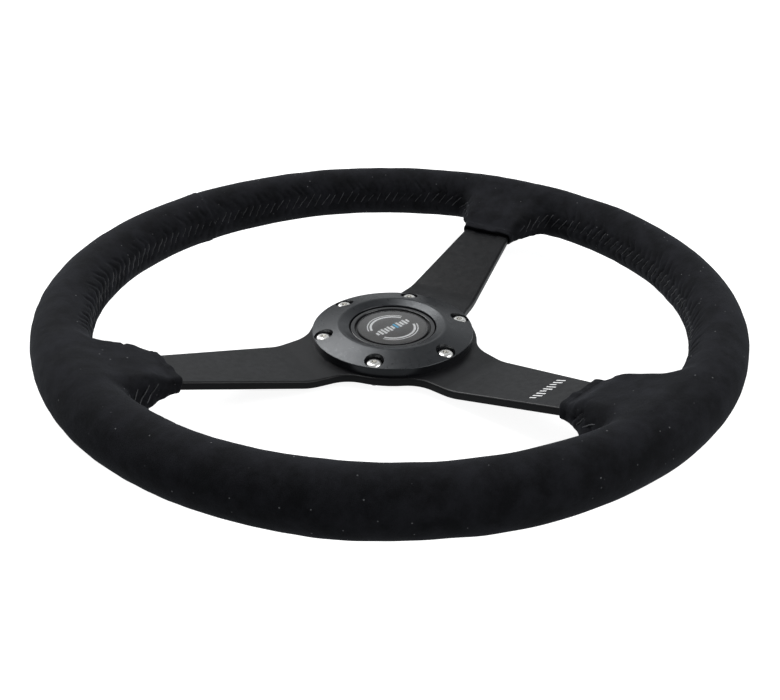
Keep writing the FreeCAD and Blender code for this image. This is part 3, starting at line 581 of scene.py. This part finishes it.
SEAM_STEP = 0.5
SEAM_ENDS = ("right", "left", "bottom", "right")
SEAM_TURN_IN = 17.0
SEAM_MOUTH_GAP = 5.5
SEAM_SLEEVE_LENGTH = 24.0


def seam_guide(start, end):
    """A seam from one sleeve's mouth, along its side, round the rim's inside and down the next sleeve."""
    first, last = SPOKE_ANGLES[start], SPOKE_ANGLES[end]
    if last < first:
        last += 360
    depths = np.arange(SEAM_MOUTH_GAP, SEAM_SLEEVE_LENGTH, 2.0)
    flanks = []
    for side in (start, end):
        half_width, middle, half_height = sleeve_section(depths, side)
        flanks.append(np.stack([MOUTHS[side] + depths, half_width, middle - half_height * 0.1], axis=1))
    down = turned(flanks[0], first)
    back = turned(flanks[1][::-1] * (1, -1, 1), last)
    turns = np.radians(np.arange(first + SEAM_TURN_IN, last - SEAM_TURN_IN, 1.0))
    ring = np.full_like(turns, COVER_INNER)
    rim = np.stack([ring * np.cos(turns), ring * np.sin(turns), np.full_like(turns, RIM_LEVEL)], axis=1)
    return np.concatenate([down, rim, back])


def resampled(path, step):
    lengths = np.r_[0, np.cumsum(np.linalg.norm(np.diff(path, axis=0), axis=1))]
    count = int(round(lengths[-1] / step))
    places = np.linspace(0, lengths[-1], count + 1)
    return np.stack([np.interp(places, lengths, path[:, i]) for i in range(3)], axis=1)


def softened(path, reach):
    """A running mean that keeps the path's two ends."""
    padded = np.concatenate([np.repeat(path[:1], reach, 0), path, np.repeat(path[-1:], reach, 0)])
    window = np.ones(2 * reach + 1) / (2 * reach + 1)
    return np.stack([np.convolve(padded[:, i], window, "valid") for i in range(3)], axis=1)


def seam_path(start, end):
    path = softened(resampled(seam_guide(start, end), 1.0), 7)
    path, _ = on_surface(path)
    path, normal = on_surface(resampled(path, SEAM_STEP))
    along = unit(np.gradient(path, axis=0))
    aside = unit(np.cross(along, normal))
    aside *= np.sign(aside[:, 2])[:, None]
    return {"at": path, "out": normal, "along": along, "up": aside}


SEAMS = [seam_path(a, b) for a, b in zip(SEAM_ENDS[:-1], SEAM_ENDS[1:])]

# ---------------------------------------------------------------- stitches

PITCH = 5.0
STITCH_LEAN = 6.0
STITCH_BELOW = 4.6
STITCH_ABOVE = 5.0
THREAD_RADIUS = 0.32
THREAD_POINTS = 9
THREAD_SIDES = 8
THREAD_END_DEPTH = 0.9
STITCH_SEED = 41


def stitch_plan(seam, seed):
    """Where each stitch sits along a seam, with its small irregularities."""
    rng = np.random.default_rng(seed)
    length = (len(seam["at"]) - 1) * SEAM_STEP
    count = int(length / PITCH)
    places = (np.arange(count) + 0.5) * length / count + rng.normal(0, 0.25, count)
    near_sleeve = 1 - smoothstep(np.minimum(places, length - places), 16.0, 32.0)
    return {
        "place": places,
        "lean": STITCH_LEAN * rng.uniform(0.75, 1.3, count) * (1 + 0.4 * near_sleeve),
        "below": STITCH_BELOW * rng.uniform(0.85, 1.12, count) * (1 - 0.3 * near_sleeve),
        "above": STITCH_ABOVE * rng.uniform(0.8, 1.25, count),
        "pull": rng.uniform(0.6, 1.3, count) * (1 - 0.45 * near_sleeve),
        "crease": rng.uniform(0.25, 1.5, count) * (1 - 0.75 * near_sleeve),
        "crease_lean": rng.uniform(0.35, 1.1, count),
        "crease_reach": rng.uniform(4.0, 9.5, count),
    }


PLANS = [stitch_plan(seam, STITCH_SEED + i) for i, seam in enumerate(SEAMS)]


def along_seam(seam, place, key):
    index = np.clip(np.asarray(place) / SEAM_STEP, 0, len(seam["at"]) - 1)
    low = np.floor(index).astype(int)
    high = np.minimum(low + 1, len(seam["at"]) - 1)
    part = (index - low)[..., None]
    return seam[key][low] * (1 - part) + seam[key][high] * part


# ---------------------------------------------------------------- the cover's fine shape

SEAM_GROOVE = 0.7
SEAM_GROOVE_WIDTH = 1.3
PUCKER = 0.7
PUCKER_WIDTH = 0.78
PUFF = 0.35
WAIST = 0.1
DETAIL_REACH = 15.0
JOINT_ANGLE = 91.0
JOINT_LAP = 0.4
JOINT_GROOVE = 0.35
JOINT_WANDER = 1.6
FLANK_CRUMPLE = 0.3
BROAD_WAVE = 0.16
FINE_WAVE = 0.06


def seam_detail(seam, plan, place, height):
    """How far the suede lies in (-) or out (+) at places along a seam and heights beside it."""
    depth = -SEAM_GROOVE * bump_at(height, SEAM_GROOVE_WIDTH)
    nearest = np.searchsorted(plan["place"], place)
    last = len(plan["place"]) - 1
    for offset in (-3, -2, -1, 0, 1, 2):
        k = np.clip(nearest + offset, 0, last)
        x = place - plan["place"][k]
        top, low = plan["above"][k], plan["below"][k]
        lean = plan["lean"][k] / (top + low)
        inside = smoothstep(height, -low - 1.0, -low + 0.8) * (1 - smoothstep(height, top - 0.8, top + 1.0))
        under = bump_at(x + lean * height, PUCKER_WIDTH)
        depth -= PUCKER * plan["pull"][k] * under * inside
        start = x + lean * top
        rise = height - top
        shift = start - plan["crease_lean"][k] * rise
        reach = plan["crease_reach"][k]
        fade = smoothstep(rise, -1.2, 0.6) * (1 - smoothstep(rise, reach * 0.35, reach))
        depth -= PUCKER * plan["crease"][k] * bump_at(shift, PUCKER_WIDTH) * fade
        fall = -low - height
        fade_low = smoothstep(fall, -1.0, 0.5) * (1 - smoothstep(fall, 1.5, reach * 0.55))
        low_shift = x - lean * low + 0.5 * fall
        depth -= PUCKER * 0.7 * plan["crease"][k] * bump_at(low_shift, PUCKER_WIDTH) * fade_low
    swell = bump_at(np.abs(height) - 6.0, 3.5)
    return depth + PUFF * swell


def seam_offsets(points):
    """The seams' displacement for each point of the cover."""
    offsets = np.zeros(len(points))
    tree = KDTree(sum(len(s["at"]) for s in SEAMS))
    owners = []
    for number, seam in enumerate(SEAMS):
        for i, at in enumerate(seam["at"]):
            tree.insert(at, len(owners))
            owners.append((number, i))
    tree.balance()
    owners = np.array(owners)
    ring = ring_of(points)
    near = np.flatnonzero(ring < COVER_INNER + 8)
    found = [tree.find(points[i]) for i in near]
    distance = np.array([f[2] for f in found])
    owner = owners[[f[1] for f in found]]
    for number, (seam, plan) in enumerate(zip(SEAMS, PLANS)):
        mine = (owner[:, 0] == number) & (distance < DETAIL_REACH)
        chosen, at = near[mine], owner[mine, 1]
        away = points[chosen] - seam["at"][at]
        place = at * SEAM_STEP + (away * seam["along"][at]).sum(1)
        height = (away * seam["up"][at]).sum(1)
        ends = np.minimum(at, len(seam["at"]) - 1 - at) * SEAM_STEP
        fade = smoothstep(ends, 0.0, 3.0) * (1 - smoothstep(distance[mine], 9.0, DETAIL_REACH))
        offsets[chosen] += seam_detail(seam, plan, place, height) * fade
    return offsets


def joint_offsets(points):
    """The joint between two panels of suede, across the rim near its top, one panel lapped over the other."""
    angle = np.degrees(np.arctan2(points[:, 1], points[:, 0]))
    section = np.arctan2(points[:, 2] - RIM_LEVEL, ring_of(points) - RIM_RADIUS)
    along = np.radians(angle - JOINT_ANGLE) * RIM_RADIUS + JOINT_WANDER * np.sin(section * 2)
    lap = JOINT_LAP * bump_at(along - 1.6, 1.3) + JOINT_LAP * 0.6 * bump_at(along - 5.0, 3.5)
    return lap - JOINT_GROOVE * bump_at(along, 0.8)


def flank_offsets(points):
    """Crumpling of the suede where it is gathered at the sides of the sleeves."""
    crumple = np.zeros(len(points))
    for side, angle in SPOKE_ANGLES.items():
        station, across, level = turned(points, -angle).T
        depth = station - MOUTHS[side]
        half_width, middle, _ = sleeve_section(depth, side)
        reach = np.abs(across) / half_width
        beside = smoothstep(reach, 0.75, 0.95) * (1 - smoothstep(reach, 1.25, 1.5))
        inward = smoothstep(depth, 4.0, 8.0) * (1 - smoothstep(depth, 16.0, 30.0))
        crumple = np.maximum(crumple, beside * inward * (1 - smoothstep(level - middle, 2.0, 7.0)))
    return FLANK_CRUMPLE * crumple * waves(points, seed=8, longest=9, shortest=3.5, count=20)


def cover_offsets(points):
    """The cover's whole displacement: unevenness, the seams, the panel joint and the crumpled flanks."""
    broad = BROAD_WAVE * waves(points, seed=5, longest=90, shortest=26, count=14)
    fine = FINE_WAVE * waves(points, seed=6, longest=14, shortest=6, count=16)
    return broad + fine + seam_offsets(points) + joint_offsets(points) + flank_offsets(points) - WAIST


def thinned(piece, ratio):
    """Joins the smallest faces where the surface is flattest."""
    modifier = piece.modifiers.new("thin", "DECIMATE")
    modifier.ratio = ratio
    evaluated = piece.evaluated_get(bpy.context.evaluated_depsgraph_get())
    mesh = bpy.data.meshes.new_from_object(evaluated)
    piece.modifiers.clear()
    piece.data = mesh


def make_cover():
    """The whole suede skin, shaped, thinned and put in place of the frame's plain panels."""
    points, faces = remeshed(*rough_cover(), COVER_VOXEL)
    points, normals = on_surface(points)
    points = points + normals * cover_offsets(points)[:, None]
    piece = new_piece("suede_cover", points, faces, SUEDE)
    thinned(piece, COVER_KEPT)
    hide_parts("cover_left", "cover_right", "boot_bottom", "boot_left", "boot_right")
    return piece


def make_stitches():
    """The threads of each seam, one slanted stitch after another, sunk at both ends."""
    names = ("stitches_top", "stitches_left", "stitches_right")
    for name, node, seam, plan in zip(names, ("seam_top", "seam_left", "seam_right"), SEAMS, PLANS):
        parts = []
        for k, place in enumerate(plan["place"]):
            u = np.linspace(0, 1, THREAD_POINTS)
            low, high = -plan["below"][k], plan["above"][k]
            height = low + (high - low) * u
            lean = plan["lean"][k] / (high - low)
            where = place - lean * height
            at = along_seam(seam, where, "at") + along_seam(seam, where, "up") * height[:, None]
            at, out = on_surface(at)
            depth = seam_detail(seam, plan, where, height) - WAIST
            arch = np.sin(math.pi * u) ** 0.5
            lift = depth + (0.15 + 0.6 * THREAD_RADIUS) * arch - THREAD_END_DEPTH * (1 - arch)
            parts.append(tube(at + out * lift[:, None], THREAD_RADIUS, THREAD_SIDES, out))
        points, faces = joined(parts)
        piece = new_piece(name, points, faces, THREAD)
        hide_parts(node)


make_cover()
make_stitches()

# ---------------------------------------------------------------- hems at the sleeves' mouths

HEM_WIDTH = 4.6
HEM_THICKNESS = 1.2
HEM_GAP = 0.85
HEM_SIDE_GAP = 0.45
HEM_FLARE = 0.03
HEM_STEPS_ROUND = 150
HEM_EDGE_STEPS = 20
HEM_SEED = 70


def rounded_loop(half_width, half_height, corner, count):
    """Points and outward directions evenly round a rounded rectangle, in its own plane."""
    flat_w, flat_h = half_width - corner, half_height - corner
    pieces = []
    centres = [(flat_w, flat_h, 0), (-flat_w, flat_h, 90), (-flat_w, -flat_h, 180), (flat_w, -flat_h, 270)]
    for x, y, start in centres:
        angles = np.radians(start + np.linspace(0, 90, 12))
        out = np.stack([np.cos(angles), np.sin(angles)], axis=1)
        pieces.append(np.array([x, y]) + out * corner)
    loop = np.concatenate(pieces + [pieces[0][:1]])
    lengths = np.r_[0, np.cumsum(np.linalg.norm(np.diff(loop, axis=0), axis=1))]
    places = np.linspace(0, lengths[-1], count + 1)[:-1]
    at = np.stack([np.interp(places, lengths, loop[:, i]) for i in range(2)], axis=1)
    ahead = np.roll(at, -1, 0) - np.roll(at, 1, 0)
    out = unit(np.stack([ahead[:, 1], -ahead[:, 0]], axis=1))
    return at, out


def make_hem(side, seed):
    """The folded edge of a sleeve: a flat band round the spoke with rounded edges."""
    count, edge = HEM_STEPS_ROUND, HEM_EDGE_STEPS
    rng = np.random.default_rng(seed)
    mouth = MOUTHS[side]
    half_width = spoke_half_width(mouth) + HEM_SIDE_GAP + HEM_THICKNESS / 2
    half_height = PLATE / 2 + HEM_GAP + HEM_THICKNESS / 2
    at, out = rounded_loop(half_width, half_height, half_height * 0.75, count)
    turns = np.arange(count) * math.tau / count
    wobble = sum(rng.normal(0, 0.22) * np.sin(turns * n + rng.uniform(0, math.tau)) for n in range(2, 9))
    swell = sum(rng.normal(0, 0.06) * np.sin(turns * n + rng.uniform(0, math.tau)) for n in range(3, 14))
    around = np.arange(edge) * math.tau / edge
    along = np.sign(np.cos(around)) * np.abs(np.cos(around)) ** 0.6 * HEM_WIDTH / 2
    thick = np.sign(np.sin(around)) * np.abs(np.sin(around)) ** 0.8 * HEM_THICKNESS / 2
    middle = mouth + HEM_WIDTH / 2
    base = spoke_top(middle) - PLATE / 2 / math.cos(math.atan(RISE))
    rows = []
    for k in range(count):
        flare = (along + HEM_WIDTH / 2) * HEM_FLARE
        reach = thick * (1 + swell[k]) + flare
        station = middle + along + wobble[k]
        across = at[k, 0] + out[k, 0] * reach
        rise = at[k, 1] + out[k, 1] * reach
        slant = MOUTH_TURNS[side] * across - MOUTH_RAKE * rise
        lift = HEM_LIFTS[side] * smoothstep(at[k, 1], 0.0, half_height)
        level = base + (along + slant) * RISE + rise + lift
        rows.append(np.stack([station + slant, across, level], axis=1))
    points = turned(np.concatenate(rows), SPOKE_ANGLES[side])
    return new_piece(f"hem_{side}", points, grid_faces(count, edge, close_rows=True), SUEDE)


for number, side_name in enumerate(SPOKE_ANGLES):
    hem = make_hem(side_name, HEM_SEED + number)

# ---------------------------------------------------------------- printed marks

PRINT_THICKNESS = 0.04
PRINT_LIFT = 0.01
PRINT_WHITE = print_material("print_white", (0.9, 0.9, 0.9))
PRINT_BLUE = print_material("print_blue", (0.1, 0.5, 0.78))


def slab(outline, thickness):
    """A flat closed slab over an outline of points: returns points and faces."""
    outline = np.asarray(outline, float)
    count = len(outline)
    lifted = outline + np.array([0, 0, thickness])
    faces = [tuple(range(count))[::-1], tuple(range(count, 2 * count))]
    faces += [(i, (i + 1) % count, count + (i + 1) % count, count + i) for i in range(count)]
    return np.concatenate([outline, lifted]), faces


def arc_band(radius, width, start, end, level, thickness):
    """Part of a flat ring between two angles."""
    angles = np.radians(np.linspace(start, end, 90))
    outer = np.stack([np.cos(angles), np.sin(angles)], axis=1) * (radius + width / 2)
    inner = np.stack([np.cos(angles), np.sin(angles)], axis=1)[::-1] * (radius - width / 2)
    ring = np.concatenate([outer, inner])
    return slab(np.column_stack([ring, np.full(len(ring), level)]), thickness)


EMBLEM_TURN = -45.5
BAND_TILT = 44.0
BAND_HALF_GAP = 24.0
BLUE_BAR = 6
EMBLEM_RINGS = ((13.3, 0.6), (11.6, 1.2))
BAR_HEIGHTS = (2.6, 4.4, 5.2, 4.0, 5.0, 3.4, 4.6, 5.2, 3.8, 4.8, 3.0)
BAR_PITCH = 2.15
MARK_BARS = 9
MARK_START = -11.5
MARK_PITCH = 2.6
MARK_STATION = 97
MARK_ENDS = (101.2, 99.8)


def make_emblem():
    """Two rings cut by a slanted row of bars, with one blue bar: a plain pattern with no lettering."""
    level = DISC_TOP + PRINT_LIFT
    parts = []
    for radius, width in EMBLEM_RINGS:
        for middle in (90 + BAND_TILT, 270 + BAND_TILT):
            start, end = middle - 90 + BAND_HALF_GAP, middle + 90 - BAND_HALF_GAP
            parts.append(arc_band(radius, width, start, end, level, PRINT_THICKNESS))
    tilt = math.radians(BAND_TILT)
    blue = []
    for k, tall in enumerate(BAR_HEIGHTS):
        x = (k - (len(BAR_HEIGHTS) - 1) / 2) * BAR_PITCH
        corners = [(-0.95, -tall / 2), (0.45, -tall / 2), (0.95, tall / 2), (-0.45, tall / 2)]
        outline = []
        for dx, dy in corners:
            px, py = x + dx, dy
            turned_x = px * math.cos(tilt) - py * math.sin(tilt)
            turned_y = px * math.sin(tilt) + py * math.cos(tilt)
            outline.append((turned_x, turned_y, level))
        target = blue if k == BLUE_BAR else parts
        target.append(slab(outline, PRINT_THICKNESS))
    for name, some, material in (("emblem_rings", parts, PRINT_WHITE), ("emblem_accent", blue, PRINT_BLUE)):
        points, faces = joined(some)
        new_piece(name, turned(points, EMBLEM_TURN), faces, material, body="horn_button",
                  smooth=False)


def make_spoke_mark():
    """A row of slanted bars across the bottom spoke."""
    parts = []
    long_end, short_end = MARK_ENDS
    for k in range(MARK_BARS):
        across = MARK_START + k * MARK_PITCH
        far = long_end if k % 3 else short_end
        near = MARK_STATION
        corners = [(near, across), (near, across + 0.9), (far, across + 2.0), (far, across + 1.1)]
        outline = [(s, w, spoke_top(s) + PRINT_LIFT) for s, w in corners]
        parts.append(slab(outline, PRINT_THICKNESS))
    points, faces = joined(parts)
    new_piece("spoke_mark", turned(points, SPOKE_ANGLES["bottom"]), faces, PRINT_WHITE,
              smooth=False)


make_emblem()
make_spoke_mark()

# ---------------------------------------------------------------- floor, light and camera


FLOOR_HALF = 60.0
FLOOR_GLOW = 0.92
BACKDROP_RADIUS = 58.0
BACKDROP_GLOW = 1.0


def white_surface(name, mesh, glow, specular):
    """A white surface that neither lights the wheel nor shows in its gloss."""
    paint = Paint(f"{name}_paper", roughness=0.9, specular=specular)
    paint.colour(paint.ramp(paint.noise(40, detail=3), [(0.3, 0.4), (0.7, 0.44)]))
    paint.shader.inputs["Emission Color"].default_value = (1, 1, 1, 1)
    paint.shader.inputs["Emission Strength"].default_value = glow
    mesh.materials.append(paint.material)
    thing = bpy.data.objects.new(name, mesh)
    bpy.context.scene.collection.objects.link(thing)
    thing.visible_diffuse = False
    thing.visible_glossy = False
    return thing


def make_floor():
    mesh = bpy.data.meshes.new("floor")
    half, level = FLOOR_HALF, FLOOR_LEVEL * MM
    corners = [(-half, -half, level), (half, -half, level), (half, half, level), (-half, half, level)]
    mesh.from_pydata(corners, [], [(0, 1, 2, 3)])
    floor = white_surface("floor", mesh, FLOOR_GLOW, specular=0.2)


def make_backdrop():
    """A white dome behind everything, through which the light of the surroundings passes."""
    mesh = bpy.data.meshes.new("backdrop")
    dome = bmesh.new()
    bmesh.ops.create_uvsphere(dome, u_segments=48, v_segments=24, radius=BACKDROP_RADIUS)
    dome.to_mesh(mesh)
    dome.free()
    backdrop = white_surface("backdrop", mesh, BACKDROP_GLOW, specular=0.0)
    backdrop.visible_transmission = False
    backdrop.visible_shadow = False


def aimed(thing, at, target, roll=0.0):
    """Puts an object at a point with its -Z toward a target, turned about its line of sight."""
    at, target = Vector(at), Vector(target)
    forward = (target - at).normalized()
    right = forward.cross(Vector((0, 0, 1))).normalized()
    up = right.cross(forward)
    r = right * math.cos(roll) + up * math.sin(roll)
    u = up * math.cos(roll) - right * math.sin(roll)
    rotation = Matrix((r, u, -forward)).transposed().to_4x4()
    thing.matrix_world = Matrix.Translation(at) @ rotation


def area_light(name, azimuth, elevation, distance, size, power):
    light = bpy.data.lights.new(name, "AREA")
    light.shape = "RECTANGLE"
    light.size, light.size_y = size
    light.energy = power
    lamp = bpy.data.objects.new(name, light)
    bpy.context.scene.collection.objects.link(lamp)
    a, e = math.radians(azimuth), math.radians(elevation)
    at = Vector((math.cos(a) * math.cos(e), math.sin(a) * math.cos(e), math.sin(e))) * distance
    aimed(lamp, at, (0, 0, 0.02))


CAMERA_LENS = 39.99
CAMERA_SHIFT = (-0.0288, 0.0769)
CAMERA_AZIMUTH = 224.18
CAMERA_ELEVATION = 26.62
CAMERA_DISTANCE = 449.95
CAMERA_ROLL = 1.2
AIM_NEARER = 102.1
AIM_ASIDE = 8.4


def make_camera():
    """The camera stands low over the wheel's lower left side, aimed short of its centre."""
    camera = bpy.data.cameras.new("camera")
    camera.sensor_width = 36.0
    camera.lens = CAMERA_LENS
    camera.shift_x, camera.shift_y = CAMERA_SHIFT
    view = bpy.data.objects.new("camera", camera)
    bpy.context.scene.collection.objects.link(view)
    azimuth, elevation = math.radians(CAMERA_AZIMUTH), math.radians(CAMERA_ELEVATION)
    distance = CAMERA_DISTANCE * MM
    rim_centre = Vector((0, 0, RIM_LEVEL * MM))
    flat = Vector((math.cos(azimuth), math.sin(azimuth), 0))
    at = rim_centre + (flat * math.cos(elevation) + Vector((0, 0, math.sin(elevation)))) * distance
    sideways = flat.cross(Vector((0, 0, 1)))
    aim = rim_centre + flat * AIM_NEARER * MM - sideways * AIM_ASIDE * MM
    aimed(view, at, aim, roll=math.radians(CAMERA_ROLL))
    bpy.context.scene.camera = view


# the surroundings' light at the sine of each height above the horizon
SKY = ((-1.0, 0.45), (-0.06, 0.62), (0.0, 0.66), (0.45, 0.6), (0.7, 0.32), (1.0, 0.32))
SKY_LIGHT_SIDE = (0.72, 0.69, 0.0)
SKY_SHARES = (0.62, 1.25)


def make_world():
    """White surroundings, lighter toward the horizon and on the side away from the camera."""
    world = bpy.data.worlds.new("studio")
    world.use_nodes = True
    background = world.node_tree.nodes["Background"]
    add, link = world.node_tree.nodes.new, world.node_tree.links.new
    direction = add("ShaderNodeSeparateXYZ")
    sight = add("ShaderNodeTexCoord").outputs["Generated"]
    link(sight, direction.inputs["Vector"])
    place = add("ShaderNodeMapRange")
    place.inputs["From Min"].default_value = -1.0
    link(direction.outputs["Z"], place.inputs["Value"])
    bands = add("ShaderNodeValToRGB")
    link(place.outputs["Result"], bands.inputs["Fac"])
    while len(bands.color_ramp.elements) < len(SKY):
        bands.color_ramp.elements.new(0.5)
    for band, (sine, light) in zip(bands.color_ramp.elements, SKY):
        band.position = (sine + 1) / 2
        band.color = (light * 0.95, light * 0.98, light, 1)
    link(bands.outputs["Color"], background.inputs["Color"])
    facing = add("ShaderNodeVectorMath")
    facing.operation = "DOT_PRODUCT"
    facing.inputs[1].default_value = SKY_LIGHT_SIDE
    link(sight, facing.inputs[0])
    share = add("ShaderNodeMapRange")
    share.inputs["From Min"].default_value = -1.0
    share.inputs["To Min"].default_value, share.inputs["To Max"].default_value = SKY_SHARES
    link(facing.outputs["Value"], share.inputs["Value"])
    link(share.outputs["Result"], background.inputs["Strength"])
    bpy.context.scene.world = world


make_floor()
make_backdrop()
make_world()
area_light("key", 87, 50, 0.95, (0.46, 0.7), 7.0)
area_light("front", 294, 47, 1.0, (0.8, 0.4), 3.8)
make_camera()
bpy.context.scene.view_settings.view_transform = "Standard"
